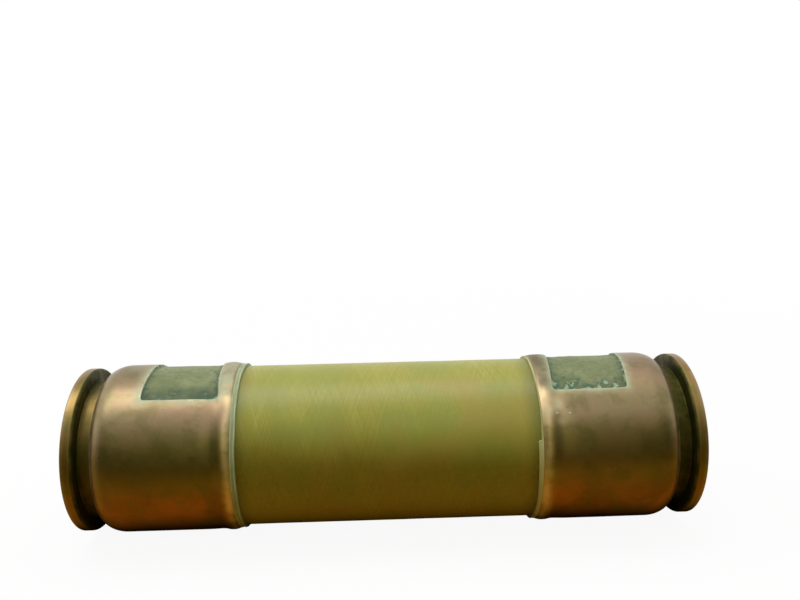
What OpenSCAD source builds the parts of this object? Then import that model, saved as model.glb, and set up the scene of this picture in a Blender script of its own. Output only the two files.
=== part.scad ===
// Cartridge fuse, medium-voltage current-limiting type, as an assembly of separate pieces.
// The long axis lies along X, the solder windows face up (+Z), and the origin is the middle of the axis.
// Every "_x" value is a distance from the middle, the same at both ends; mirrored() gives the left end.

/* [Overall] */
// Length over the two end faces
fuse_l = 276.4; // [264:0.2:400]
// Outer diameter of the ferrules, which is what the fuse clips grip
ferrule_d = 76.2; // [70:0.1:90]

/* [Ferrules] */
// Length of a ferrule from its mouth to its rolled lip
ferrule_l = 60.1; // [58:0.1:66]
// Wall of the copper sleeve
ferrule_wall = 1.3; // [1:0.05:1.8]
// Length of the rolled shoulder
shoulder_l = 9; // [6:0.1:11]
// How far the shoulder draws in, measured on its outside
shoulder_drop = 5; // [4.2:0.1:5.4]
// How far the mouth flares past the sleeve
mouth_flare = 0.4; // [0.1:0.05:0.8]
// Length of the flare
mouth_flare_l = 4; // [2:0.1:6]

/* [Solder windows] */
// Length of a window along the fuse
window_l = 33.1; // [20:0.1:38]
// Arc that a window spans, in degrees
window_arc = 66.8; // [44:0.1:80]
// Distance from the ferrule's mouth to the window
window_gap = 6.3; // [6:0.1:9]
// Height of the solder over the tube
solder_t = 0.5; // [0.3:0.05:0.9]

/* [End caps] */
// How far the rim lies inside the ferrule's outer surface
rim_step = 1; // [0:0.1:2.5]
// Thickness of the rim
rim_t = 5; // [4.5:0.1:8]
// Rounding of the rim's outer edge
rim_outer_round = 0.6; // [0.3:0.1:2]
// Rounding of the rim's edge on the groove's side
rim_inner_round = 1.6; // [0.3:0.1:2.5]
// How far the neck lies inside the ferrule's outer surface
neck_step = 7.1; // [6.9:0.1:8]
// Width of the groove that a fuse puller grips
groove_w = 6.2; // [4.5:0.1:7]
// Length of the flange that the ferrule's shoulder holds
flange_l = 12; // [11.5:0.1:14]
// Thickness of the cap's end wall
end_wall = 3.5; // [3:0.1:5]
// Length of the spigot in the tube
spigot_l = 11; // [8:0.1:14]
// Wall of the spigot and neck
spigot_wall = 2; // [1.6:0.1:2.6]

/* [Tube] */
// Wall of the tube
tube_wall = 6; // [5:0.1:7]

/* [Mouth tapes] */
// Thickness of the tape between tube and ferrule
tape_t = 0.3; // [0.2:0.05:0.6]
// How much of the tape shows at the left ferrule
tape_show_left = 2.6; // [1:0.1:4]
// How much of the tape shows at the right ferrule
tape_show_right = 1.2; // [0.6:0.1:4]
// How far the tape reaches under a ferrule
tape_lap = 5; // [3:0.1:5.6]
// Height of the tape outside the ferrule
tape_bead = 1.4; // [0.6:0.1:1.6]

/* [Terminals] */
// Half of the arc that a terminal strap spans, in degrees
strap_half_arc = 14; // [8:0.5:20]
// Thickness of a strap
strap_t = 0.8; // [0.5:0.05:0.85]
// How far the strap stops short of the window's inner end
strap_short = 2.8; // [1:0.1:8]
// Thickness of a contact plate
plate_t = 2; // [1.5:0.1:3]
// Length of the tabs that the ribbons are welded to
tab_l = 8; // [5:0.5:12]
// Thickness of a tab
tab_t = 1.2; // [0.8:0.1:1.6]

/* [Core and ribbons] */
// Distance between the core's board edges, where the ribbons lie, and the tube's bore
core_clear = 6.45; // [5:0.05:8]
// Thickness of a core board
board_t = 2; // [1.5:0.1:2.4]
// Radius of the scallops under the ribbons' necks
scallop_r = 2.5; // [1.5:0.1:3]
// Width of a ribbon
ribbon_w = 6; // [4.5:0.1:8]
// Thickness of a ribbon
ribbon_t = 0.25; // [0.15:0.05:0.4]
// Distance between two rows of holes
row_pitch = 12; // [9:0.5:16]
// Radius of the hole in the middle of a ribbon
hole_r = 0.9; // [0.5:0.05:1]
// Radius of the notches at a ribbon's edges
notch_r = 1.1; // [0.6:0.05:1.2]
// Length of a tin spot along the ribbon
spot_l = 3; // [2:0.1:4]
// Thickness of a tin spot
spot_t = 0.5; // [0.3:0.05:0.8]

/* [Fill plug] */
// Radius of the filling hole
fill_r = 6; // [4:0.1:7]
// Width of the ledge under the plug's head
ledge_w = 3; // [2:0.1:3.5]
// Thickness of the plug's head
plug_head_t = 2; // [1.5:0.1:2.4]
// Length of the plug's body below the head
plug_body_l = 6; // [4:0.5:10]
// Wall of the boss around the hole
boss_wall = 4.5; // [4:0.1:6]
// Thickness of the sealing washer
fill_washer_t = 1; // [0.6:0.1:1.2]
// How far the plug's head lies below the end face
plug_recess = 0.5; // [0.2:0.1:1]
// Width of the screwdriver slot
slot_w = 1.6; // [1:0.1:2]
// Depth of the screwdriver slot
slot_depth = 1.2; // [0.8:0.1:1.3]

/* [Blown-fuse indicator] */
// Travel of the indicator when the fuse has blown
stroke = 9; // [6:0.5:10]
// Outer radius of the housing
housing_r = 7; // [6.6:0.1:8]
// Length of the housing
housing_l = 20; // [19:0.5:22]
// Wall of the housing
housing_wall = 2; // [1.5:0.1:2.2]
// Radius of the flange that holds the housing behind the end wall
housing_flange_r = 9.5; // [9:0.1:11]
// Thickness of the housing's flange
housing_flange_t = 1.5; // [1:0.1:2]
// How far the button lies below the end face
button_recess = 0.5; // [0.2:0.1:1]
// Length of the button
button_l = 6; // [5:0.1:6.5]
// Radius of the plunger's stem
stem_r = 2; // [1.6:0.1:2.2]
// Radius of the spring's wire
spring_wire_r = 0.45; // [0.3:0.05:0.5]
// Number of turns in the spring
spring_turns = 7; // [5:1:9]
// Thickness of the clip at the stem's inner end
clip_t = 1.5; // [1:0.1:2]
// Width of the clip past the stem
clip_w = 1.4; // [1:0.1:2]
// Radius of the wire that holds the plunger back
wire_r = 0.3; // [0.2:0.05:0.4]
// Distance of that wire from the axis, between two boards
wire_offset = 18; // [14:0.5:20]

/* [Hidden] */
$fn = 96;
// turn of the ferrule's seam from the bottom, so that it and the lines beside it miss the window
seam_turn = 37.5;
// clearance between pieces that are pressed, rolled or laid together
fit = 0.05;
// room left around a piece that lies in a slot, a notch or the sand
room = 0.1;
// radial clearance of the sliding plunger
slide_fit = 0.08;
// radial clearance of the spigot in the tube
spigot_fit = 0.25;
// how far a cutting shape runs past the face it cuts
over = 1;
arc_steps = 8;
ferrule_r = ferrule_d / 2;
sleeve_r = ferrule_r - ferrule_wall;
rim_r = ferrule_r - rim_step;
neck_r = ferrule_r - neck_step;
tube_r = sleeve_r - tape_t - fit;
bore_r = tube_r - tube_wall;
spigot_r = bore_r - spigot_fit;
cavity_r = spigot_r - spigot_wall;
end_x = fuse_l / 2;
groove_x = end_x - rim_t;
lip_x = groove_x - groove_w;
mouth_x = lip_x - ferrule_l;
shoulder_x = lip_x - shoulder_l;
window_x = mouth_x + window_gap;
flange_x = lip_x - flange_l;
tube_x = flange_x - strap_t - 2 * room;
spigot_x = flange_x - spigot_l;
plate_x = spigot_x - plate_t;
cavity_x = end_x - end_wall;
// straps: outer leg in a groove of the tube, end leg over the tube's end, inner leg down to the plate
strap_x = window_x + strap_short;
strap_inner_r = bore_r - strap_t - fit;
strap_gap_arc = 0.6;
// arc between the solder and each side of its window
window_seam_arc = 0.1;
// core
core_r = bore_r - core_clear;
board_x = plate_x - tab_l;
third_x = board_x / 3;
fin_arc = 60;
joint_half_w = board_t * (1 + cos(fin_arc)) / sin(fin_arc) / 2 + room;
rows = floor((board_x - notch_r) / row_pitch);
// wire and its bushing, in the middle of the right plate
bend_swell = 1.3;
wire_bay_r = 6;
wire_bay_l = 10;
wire_turn_x = board_x;
wire_bend_x = board_x - wire_offset / 2 - wire_bay_l / 2;
bushing_r = 3;
bushing_flange_r = 5;
bushing_flange_t = 1;
// how far the bushing stands out of the plate
bushing_past = 1;
post_r = 1.5;
post_l = 5;
// indicator
housing_x = end_x - housing_l;
housing_bore_r = housing_r - housing_wall;
housing_floor = 2;
stem_tail = 1;
button_x = end_x - button_recess;
stem_top_x = button_x - button_l;
clip_x = housing_x - stroke - 2 * room;
stem_end_x = clip_x - clip_t - stem_tail;
spring_r = (stem_r + housing_bore_r) / 2;
spring_sides = 8;
spring_steps = 14;
// how far the boss runs past the plug's body
boss_past = 1;
plug_head_r = fill_r + ledge_w;
ledge_x = end_x - plug_recess - plug_head_t - fill_washer_t;
boss_x = ledge_x - plug_body_l - boss_past;

// ---- helpers ----

// a turned piece: the profile is a list of [radius, x]
module turned(profile) {
    rotate([0, 90, 0])
        rotate_extrude()
            polygon(profile);
}

// the part of a turned piece within half_arc degrees of the top
module turned_sector(profile, half_arc) {
    rotate([0, 90, 0])
        rotate([0, 0, 180 - half_arc])
            rotate_extrude(angle = 2 * half_arc)
                polygon(profile);
}

// profile of a plain ring between two radii and two places along the axis
function ring(r_in, r_out, x_in, x_out) = [[r_in, x_in], [r_out, x_in], [r_out, x_out], [r_in, x_out]];

// quarter of an ellipse, from a wall of radius r at x, l long, drawing in by drop
function drawn_in(r, x, l, drop) = [
    for (i = [0 : arc_steps])
        [r - drop * (1 - cos(90 * i / arc_steps)), x + l * sin(90 * i / arc_steps)]
];

function reverse(list) = [for (i = [len(list) - 1 : -1 : 0]) list[i]];

// quarter round on an outer edge: centre [r, x], turning from angle a by 90 degrees
function edge_round(r, x, radius, a) = [
    for (i = [0 : arc_steps])
        [r + radius * cos(a + 90 * i / arc_steps), x + radius * sin(a + 90 * i / arc_steps)]
];

module mirrored() {
    mirror([1, 0, 0])
        children();
}

// a round bar along X
module bar(r, x_from, x_to) {
    translate([x_from, 0, 0])
        rotate([0, 90, 0])
            cylinder(r = r, h = x_to - x_from);
}

// a round bar between two points
module link(r, from, to) {
    run = to - from;
    translate(from)
        rotate([0, acos(run[2] / norm(run)), atan2(run[1], run[0])])
            cylinder(r = r, h = norm(run));
}

// ---- tube ----

module tube() {
    color("#8a7d34")
        difference() {
            turned(ring(bore_r, tube_r, -tube_x, tube_x));
            strap_groove();
            mirrored()
                strap_groove();
        }
}

module strap_groove() {
    turned_sector(
        ring(tube_r - strap_t - fit, tube_r + over, strap_x - room, tube_x + over),
        strap_half_arc + strap_gap_arc
    );
}

// ---- ferrules ----

module ferrule() {
    difference() {
        rotate([seam_turn, 0, 0])
            turned(concat(
                [[sleeve_r, mouth_x], [ferrule_r + mouth_flare / 2, mouth_x]],
                [[ferrule_r + mouth_flare, mouth_x + ferrule_wall / 2]],
                [[ferrule_r + mouth_flare, mouth_x + ferrule_wall]],
                [[ferrule_r, mouth_x + mouth_flare_l]],
                drawn_in(ferrule_r, shoulder_x, shoulder_l, shoulder_drop),
                [[neck_r + room, lip_x], [neck_r + room, lip_x - ferrule_wall]],
                reverse(drawn_in(sleeve_r, shoulder_x, shoulder_l - ferrule_wall, shoulder_drop))
            ));
        turned_sector(
            ring(sleeve_r - over, ferrule_r + over, window_x, window_x + window_l),
            window_arc / 2
        );
    }
}

module ferrule_left() {
    color("#b08a5c")
        mirrored()
            ferrule();
}

module ferrule_right() {
    color("#b08a5c")
        ferrule();
}

// ---- end caps ----

// a cup with the rim and neck outside and the flange under the ferrule's shoulder
module end_cap() {
    flange_r = sleeve_r - fit;
    shell_x = lip_x - ferrule_wall - fit;
    difference() {
        turned(concat(
            [[cavity_r, spigot_x], [spigot_r, spigot_x], [spigot_r, flange_x], [flange_r, flange_x]],
            drawn_in(flange_r, shoulder_x, shell_x - shoulder_x, shoulder_drop),
            [[neck_r, shell_x], [neck_r, groove_x]],
            edge_round(rim_r - rim_inner_round, groove_x + rim_inner_round, rim_inner_round, -90),
            edge_round(rim_r - rim_outer_round, end_x - rim_outer_round, rim_outer_round, 0),
            [[0, end_x], [0, cavity_x], [cavity_r, cavity_x]]
        ));
        turned_sector(
            ring(strap_inner_r - fit, spigot_r + over, spigot_x - over, flange_x),
            strap_half_arc + strap_gap_arc
        );
    }
}

module end_cap_left() {
    color("#a67f52")
        mirrored()
            difference() {
                union() {
                    end_cap();
                    bar(fill_r + boss_wall, boss_x, cavity_x + over);
                }
                bar(fill_r, boss_x - over, end_x + over);
                bar(plug_head_r, ledge_x, end_x + over);
            }
}

module end_cap_right() {
    color("#a67f52")
        difference() {
            end_cap();
            bar(housing_r, cavity_x - over, end_x + over);
        }
}

// ---- tapes at the ferrules' mouths ----

module tape(show) {
    turned([
        [tube_r, mouth_x - show], [tube_r + tape_bead, mouth_x - show],
        [tube_r + tape_bead, mouth_x - fit], [sleeve_r - fit, mouth_x - fit],
        [sleeve_r - fit, mouth_x + tape_lap], [tube_r, mouth_x + tape_lap]
    ]);
}

module tape_left() {
    color("#8f9a7c")
        mirrored()
            tape(tape_show_left);
}

module tape_right() {
    color("#c2bf96")
        tape(tape_show_right);
}

// ---- terminal straps, and the solder that joins them to the ferrules ----

module strap() {
    turned_sector(
        [
            [tube_r - strap_t, strap_x], [tube_r, strap_x],
            [tube_r, tube_x + strap_t + fit], [strap_inner_r, tube_x + strap_t + fit],
            [strap_inner_r, plate_x], [strap_inner_r + strap_t, plate_x],
            [strap_inner_r + strap_t, tube_x + fit], [tube_r - strap_t, tube_x + fit]
        ],
        strap_half_arc
    );
}

module strap_left() {
    color("#b5a58a")
        mirrored()
            strap();
}

module strap_right() {
    color("#b5a58a")
        strap();
}

module solder() {
    turned_sector(
        ring(tube_r, tube_r + solder_t, window_x + fit, window_x + window_l - fit),
        window_arc / 2 - window_seam_arc
    );
}

module solder_left() {
    color("#5f6a4c")
        mirrored()
            solder();
}

module solder_right() {
    color("#5f6a4c")
        solder();
}

// ---- washers between tube and caps ----

module gasket() {
    difference() {
        turned(ring(bore_r, tube_r, tube_x, flange_x));
        turned_sector(
            ring(bore_r - over, tube_r + over, tube_x - over, flange_x + over),
            strap_half_arc + strap_gap_arc
        );
    }
}

module gasket_left() {
    color("#5a3b2a")
        mirrored()
            gasket();
}

module gasket_right() {
    color("#5a3b2a")
        gasket();
}

// ---- contact plates ----

module fin_angles() {
    for (a = [0 : fin_arc : 360 - fin_arc])
        rotate([a, 0, 0])
            children();
}

module contact_plate(middle_r) {
    difference() {
        bar(spigot_r, plate_x, spigot_x);
        turned_sector(
            ring(strap_inner_r, spigot_r + over, plate_x - over, spigot_x + over),
            strap_half_arc + strap_gap_arc
        );
        bar(middle_r, plate_x - over, spigot_x + over);
    }
    fin_angles()
        translate([board_x, core_r - tab_t, -ribbon_w / 2])
            cube([tab_l + plate_t / 2, tab_t, ribbon_w]);
}

module contact_plate_left() {
    color("#c08a5a")
        mirrored()
            contact_plate(fill_r);
}

module contact_plate_right() {
    color("#c08a5a")
        contact_plate(bushing_r + fit);
}

// ---- core: three boards halved into each other, with a fin every 60 degrees ----

// a board, with its middle cut away in the given stretches [from, to] where another board crosses
module core_board(turn, stretches) {
    rotate([turn, 0, 0])
        difference() {
            cube([2 * board_x, 2 * core_r, board_t], center = true);
            for (s = stretches)
                translate([s[0], -joint_half_w, -board_t])
                    cube([s[1] - s[0], 2 * joint_half_w, 2 * board_t]);
            for (i = [-rows : rows])
                for (side = [-1, 1])
                    translate([i * row_pitch, side * core_r, -board_t])
                        cylinder(r = scallop_r, h = 2 * board_t);
            bar(wire_bay_r, board_x - wire_bay_l, board_x + over);
        }
}

module core_board_a() {
    color("#d8cfae")
        core_board(0, [[-third_x - fit, board_x + over]]);
}

module core_board_b() {
    color("#cfc6a4")
        core_board(fin_arc, [[-board_x - over, -third_x + fit], [third_x - fit, board_x + over]]);
}

module core_board_c() {
    color("#c6bd9a")
        core_board(2 * fin_arc, [[-board_x - over, third_x + fit]]);
}

// ---- silver ribbons on the edges of the fins ----

module element(n) {
    color("#d6d6d0")
        rotate([(n - 1) * fin_arc, 0, 0])
            difference() {
                translate([-plate_x, core_r, -ribbon_w / 2])
                    cube([2 * plate_x, ribbon_t, ribbon_w]);
                for (i = [-rows : rows])
                    translate([i * row_pitch, core_r - over, 0])
                        rotate([-90, 0, 0])
                            ribbon_holes();
            }
}

module ribbon_holes() {
    cylinder(r = hole_r, h = ribbon_t + 2 * over);
    for (side = [-1, 1])
        translate([0, side * ribbon_w / 2, 0])
            cylinder(r = notch_r, h = ribbon_t + 2 * over);
}

module element_1() {
    element(1);
}

module element_2() {
    element(2);
}

module element_3() {
    element(3);
}

module element_4() {
    element(4);
}

module element_5() {
    element(5);
}

module element_6() {
    element(6);
}

// tin spots that melt first on a long overload, beside the middle row of holes
module overlay_spots() {
    color("#9a9a98")
        fin_angles()
            translate([(row_pitch - spot_l) / 2, core_r + ribbon_t, -ribbon_w / 2])
                cube([spot_l, spot_t, ribbon_w]);
}

// ---- sand, which fills the tube and the left cap around all the rest ----

module sand_fill() {
    color("#cbbf9e")
        difference() {
            union() {
                bar(bore_r - fit, -plate_x + fit, plate_x - fit);
                bar(fill_r - room, -spigot_x - over, -plate_x + over);
                bar(cavity_r - room, -cavity_x + fit, -spigot_x - fit);
            }
            for (a = [0 : fin_arc : 2 * fin_arc])
                rotate([a, 0, 0])
                    cube([2 * (board_x + fit), 2 * core_r, board_t + 2 * room], center = true);
            fin_angles()
                sand_pockets();
            strap_pocket();
            mirrored()
                strap_pocket();
            bar(fill_r + boss_wall + fit, -cavity_x, -boss_x + fit);
            wire_path(wire_r + room);
            bar(bushing_flange_r + room, plate_x - bushing_flange_t - room, plate_x + over);
            post(post_r + room, post_l + room);
        }
}

// room for a ribbon, its tabs and its tin spot
module sand_pockets() {
    half_w = ribbon_w / 2 + room;
    translate([-plate_x, core_r - room, -half_w])
        cube([2 * plate_x, ribbon_t + 2 * room, 2 * half_w]);
    for (side = [-1, 1])
        translate([side * (board_x + plate_x) / 2, core_r - tab_t / 2, 0])
            cube([tab_l + 2 * room, tab_t + 2 * room, 2 * half_w], center = true);
    translate([(row_pitch - spot_l) / 2 - room, core_r, -half_w])
        cube([spot_l + 2 * room, ribbon_t + spot_t + room, 2 * half_w]);
}

// room for the inner leg of a strap
module strap_pocket() {
    turned_sector(
        ring(strap_inner_r - room, bore_r + over, plate_x - room, plate_x + over),
        strap_half_arc + strap_gap_arc
    );
}

// ---- fill plug ----

module fill_plug() {
    head_x = ledge_x + fill_washer_t;
    color("#a8874a")
        mirrored()
            difference() {
                union() {
                    bar(plug_head_r - fit, head_x, head_x + plug_head_t);
                    bar(fill_r - fit, ledge_x - plug_body_l, head_x + plug_head_t);
                }
                translate([head_x + plug_head_t - slot_depth, -ferrule_r, -slot_w / 2])
                    cube([slot_depth + over, ferrule_d, slot_w]);
            }
}

module fill_washer() {
    color("#6b3f2c")
        mirrored()
            turned(ring(fill_r, plug_head_r - fit, ledge_x, ledge_x + fill_washer_t));
}

// ---- blown-fuse indicator ----

module indicator_housing() {
    color("#b59a4e")
        difference() {
            union() {
                bar(housing_r - fit, housing_x, end_x);
                bar(housing_flange_r, cavity_x - housing_flange_t, cavity_x);
            }
            bar(housing_bore_r, housing_x + housing_floor, end_x + over);
            bar(stem_r + slide_fit, housing_x - over, housing_x + housing_floor + over);
        }
}

module indicator_plunger() {
    color("#a8321f")
        union() {
            bar(housing_bore_r - slide_fit, stem_top_x, button_x);
            bar(stem_r, stem_end_x, stem_top_x + over);
        }
}

module indicator_clip() {
    color("#8c8c88")
        turned(ring(stem_r, stem_r + clip_w, clip_x - clip_t, clip_x));
}

// the spring's wire swept along a helix, from the housing's floor to the button
module indicator_spring() {
    from_x = housing_x + housing_floor + spring_wire_r + fit;
    to_x = stem_top_x - spring_wire_r - fit;
    count = spring_turns * spring_steps;
    climb = (to_x - from_x) / count;
    pitch_angle = atan2(climb * spring_steps, 2 * PI * spring_r);
    points = [
        for (i = [0 : count])
            let (turn = 360 * i / spring_steps)
                for (j = [0 : spring_sides - 1])
                    let (
                        a = 360 * j / spring_sides,
                        out = spring_r + spring_wire_r * cos(a),
                        up = spring_wire_r * sin(a)
                    )
                        [
                            from_x + i * climb + up * cos(pitch_angle),
                            out * cos(turn) + up * sin(pitch_angle) * sin(turn),
                            out * sin(turn) - up * sin(pitch_angle) * cos(turn)
                        ]
    ];
    sides = [
        for (i = [0 : count - 1])
            for (j = [0 : spring_sides - 1])
                let (k = (j + 1) % spring_sides, a = i * spring_sides, b = a + spring_sides)
                    [a + j, b + j, b + k, a + k]
    ];
    first = [for (j = [0 : spring_sides - 1]) j];
    last = [for (j = [spring_sides - 1 : -1 : 0]) count * spring_sides + j];
    color("#9a9a94")
        polyhedron(points = points, faces = concat(sides, [first, last]), convexity = 10);
}

// the holding wire: along the ribbons from the left plate, then in to the axis and the plunger's stem
module wire_path(r) {
    start = [-plate_x + post_l, 0, wire_offset];
    bend = [wire_bend_x, 0, wire_offset];
    turn = [wire_turn_x, 0, 0];
    finish = [stem_end_x - fit, 0, 0];
    link(r, start, bend);
    link(r, bend, turn);
    link(r, turn, finish);
    for (p = [bend, turn])
        translate(p)
            sphere(r = bend_swell * r);
}

module indicator_wire() {
    color("#b8b8b4")
        wire_path(wire_r);
}

// ceramic bushing that guides the wire through the right plate
module wire_bushing() {
    color("#e6e2d4")
        difference() {
            union() {
                bar(bushing_r, plate_x, spigot_x + bushing_past);
                bar(bushing_flange_r, plate_x - bushing_flange_t, plate_x);
            }
            bar(wire_r + fit, plate_x - bushing_flange_t - over, spigot_x + bushing_past + over);
        }
}

module post(r, l) {
    translate([-plate_x, 0, wire_offset])
        bar(r, 0, l);
}

module wire_post() {
    color("#a07a4c")
        post(post_r, post_l);
}

tube();
ferrule_left();
ferrule_right();
end_cap_left();
end_cap_right();
tape_left();
tape_right();
strap_left();
strap_right();
solder_left();
solder_right();
gasket_left();
gasket_right();
contact_plate_left();
contact_plate_right();
core_board_a();
core_board_b();
core_board_c();
element_1();
element_2();
element_3();
element_4();
element_5();
element_6();
overlay_spots();
sand_fill();
fill_plug();
fill_washer();
indicator_housing();
indicator_plunger();
indicator_clip();
indicator_spring();
indicator_wire();
wire_bushing();
wire_post();
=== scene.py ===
from math import cos, pi, radians

import bpy
import numpy as np
from mathutils import Matrix, Vector
from mathutils.bvhtree import BVHTree


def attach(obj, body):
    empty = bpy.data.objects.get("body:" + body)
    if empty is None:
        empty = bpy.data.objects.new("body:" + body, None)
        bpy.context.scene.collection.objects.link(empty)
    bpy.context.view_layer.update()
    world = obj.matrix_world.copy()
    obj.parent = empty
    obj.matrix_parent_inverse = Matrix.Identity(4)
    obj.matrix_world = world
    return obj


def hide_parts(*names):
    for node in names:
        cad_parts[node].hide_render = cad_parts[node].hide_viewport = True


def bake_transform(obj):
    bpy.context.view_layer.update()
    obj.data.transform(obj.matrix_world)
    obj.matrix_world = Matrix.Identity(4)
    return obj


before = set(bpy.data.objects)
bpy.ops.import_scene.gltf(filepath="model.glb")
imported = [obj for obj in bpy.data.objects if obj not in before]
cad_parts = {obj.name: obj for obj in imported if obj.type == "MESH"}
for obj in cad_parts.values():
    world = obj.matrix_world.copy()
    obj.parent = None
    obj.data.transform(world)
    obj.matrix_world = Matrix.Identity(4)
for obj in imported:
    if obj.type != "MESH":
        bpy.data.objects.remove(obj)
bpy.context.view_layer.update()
MM = 0.001
TINY = 1e-9

# ---- image points, in pixels of the 800 x 600 photograph ----

W, H = 800, 600
L = max(W, H)
POINTS = {
    "left": (58.5, 460.0),
    "right": (708.5, 450.3),
    "top": (624.4, 353.0),
    "bottom": (131.0, 532.0),
    "left_window_outer_corner": (142.0, 400.5),
    "left_window_inner_corner": (218.0, 398.5),
    "right_window_inner_corner": (554.0, 389.0),
    "right_window_outer_corner": (630.0, 387.0),
    "left_mouth": (228.3, 455.0),
    "right_mouth": (544.8, 455.0),
    "left_lip": (92.0, 440.0),
    "right_lip": (677.5, 440.0),
    "left_rim_back": (70.5, 440.0),
    "right_rim_back": (698.0, 440.0),
    "tape_lap": (542.0, 442.0),
    "solder_drop": (563.0, 376.0),
    "copper_pip_a": (557.0, 413.0),
    "copper_pip_b": (570.0, 413.0),
}

# ---- camera, settled by the image points ----

CAMERA_AT = (-0.0016, -0.33248, 0.15947)
CAMERA_AIM = (0.00741, 0.0, 0.06824)
CAMERA_ROLL = -0.0171
CAMERA_LENS = 34.517
SENSOR_WIDTH = 36.0
SHIFT_X, SHIFT_Y = 0.0, 0.0


def in_scene(name, data):
    """A new object of this data in the scene."""
    made = bpy.data.objects.new(name, data)
    bpy.context.scene.collection.objects.link(made)
    return made


def make_camera():
    """The photograph's camera: aimed first, then rolled about its own axis, with no shift."""
    data = bpy.data.cameras.new("camera")
    data.lens = CAMERA_LENS
    data.sensor_width = SENSOR_WIDTH
    data.sensor_fit = "AUTO"
    data.shift_x, data.shift_y = SHIFT_X, SHIFT_Y
    data.clip_start, data.clip_end = 0.01, 50.0
    camera = in_scene("camera", data)
    aim = Vector(CAMERA_AIM) - Vector(CAMERA_AT)
    turn = aim.to_track_quat("-Z", "Y").to_matrix() @ Matrix.Rotation(CAMERA_ROLL, 3, "Z")
    camera.matrix_world = Matrix.Translation(CAMERA_AT) @ turn.to_4x4()
    bpy.context.scene.camera = camera
    return camera


CAMERA = make_camera()
CAMERA_AXES = np.array(CAMERA.matrix_world.to_3x3())


def to_pixels(points):
    """Where points in metres show in the photograph: their place in the camera's axes, divided by depth."""
    local = (np.atleast_2d(points) - np.array(CAMERA_AT)) @ CAMERA_AXES
    per_depth = L * CAMERA_LENS / SENSOR_WIDTH / -local[:, 2]
    return np.stack([
        W / 2 - SHIFT_X * L + local[:, 0] * per_depth,
        H / 2 + SHIFT_Y * L - local[:, 1] * per_depth,
    ], axis=1)


def place(name, carrier):
    """The place on the carrier that shows at an image point, in mm: where the point's ray meets it, or
    else the one nearest to the ray."""
    x, y = POINTS[name]
    local = Vector((
        x - W / 2 + SHIFT_X * L,
        H / 2 - y + SHIFT_Y * L,
        -L * CAMERA_LENS / SENSOR_WIDTH,
    ))
    ray = (CAMERA.matrix_world.to_3x3() @ local).normalized()
    tree = BVHTree.FromObject(carrier, bpy.context.evaluated_depsgraph_get())
    spot = tree.ray_cast(Vector(CAMERA_AT), ray)[0]
    if spot is None:
        reach = -Vector(CAMERA_AT).dot(ray)
        spot = tree.find_nearest(Vector(CAMERA_AT) + ray * reach)[0]
    return np.array(spot) / MM


# ---- sizes in mm, as in the part's source. An "x" is a distance from the middle, the same at both ends ----

FERRULE_R = 38.1
WALL = 1.3
SLEEVE_R = FERRULE_R - WALL
MOUTH_X = 66.9
SHOULDER_X = 118.0
SHOULDER_DROP = 5.0
LIP_X = 127.0
FLARE = 0.4
WINDOW_X = (73.2, 106.3)
WINDOW_HALF_ARC = 33.4
GROOVE_X = 133.2
END_X = 138.2
RIM_R = 37.1
NECK_R = 31.0
FLANGE_R = 36.75
FLANGE_X = 115.0
SHELL_X = 125.65
SPIGOT_R = 30.2
SPIGOT_X = 104.0
CAVITY_X = 134.7
CAVITY_R = 28.2
TUBE_R = 36.45
BORE_R = 30.45
TUBE_X = 114.0
STRAP_X = 75.9
STRAP_HALF_ARC = 14.6
STRAP_SLOT_DEPTH = 0.65
STRAP_GROOVE_DEPTH = 0.85
TAPE_UNDER_R = 36.75
TAPE_UNDER_X = 71.9

# ---- helpers for surfaces ----


def bell(x, centre, width):
    """1 at the centre, falling off as a bell on both sides."""
    return np.exp(-(((x - centre) / width) ** 2))


def ramp(x, low, high):
    """0 below low, 1 above high, and smooth between them. It is a step where the two are equal."""
    t = np.clip((x - low) / max(high - low, TINY), 0, 1)
    return t * t * (3 - 2 * t)


def rounded_by(distance, radius):
    """How far a rounded edge lies below its surface, at a distance from the edge: a quarter circle."""
    t = np.clip(1 - distance / radius, 0, 1)
    return radius * (1 - np.sqrt(1 - t * t))


def turned_in_by(distance, width, depth):
    """How far an edge that is turned in over a width lies below its surface: a power curve, steepest at
    the edge."""
    return depth * np.clip(1 - distance / width, 0, 1) ** 2


def on_axis(r, x, turn, side=1):
    """Points at a radius and a turn, which goes from the bottom over the back to the top and down the
    front."""
    return np.stack(np.broadcast_arrays(side * x, r * np.sin(turn), -r * np.cos(turn)), axis=-1)


def lumps(x, turn, pitch, seed, count=12, r=FERRULE_R):
    """A smooth random field on a turned surface, about -1 to 1: sine waves of the point's place in seeded
    directions. pitch is the most radians per mm. It closes round the axis by itself."""
    rng = np.random.default_rng(seed)
    p = on_axis(r, x, turn)
    total = np.zeros(p.shape[:-1])
    for _ in range(count):
        heading = rng.normal(size=3)
        heading *= pitch * rng.uniform(0.3, 1) / np.linalg.norm(heading)
        total = total + np.sin(p @ heading + rng.uniform(0, 2 * pi))
    return total / np.sqrt(count)


def shoulder_rows(r, x_end, a):
    """The rolled shoulder's profile [r, x]: a quarter of an ellipse, from a radius at its start on to
    x_end, at angles a."""
    drop, run = SHOULDER_DROP * (1 - np.cos(a)), (x_end - SHOULDER_X) * np.sin(a)
    return np.stack([r - drop, SHOULDER_X + run], axis=1)


def round_corner(centre_r, centre_x, radius, start, stop, steps=7):
    """Profile points [r, x] on a circle, from one angle to another in degrees."""
    a = np.radians(np.linspace(start, stop, steps))
    return np.stack([centre_r + radius * np.cos(a), centre_x + radius * np.sin(a)], axis=1)


def refined(profile, step):
    """The closed profile with its long sides cut into steps of at most this length."""
    out = []
    for p, q in zip(profile, np.roll(profile, -1, axis=0)):
        parts = max(1, int(np.ceil(np.linalg.norm(q - p) / step)))
        out.append(p + (q - p) * (np.arange(parts) / parts)[:, None])
    return np.concatenate(out)


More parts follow.
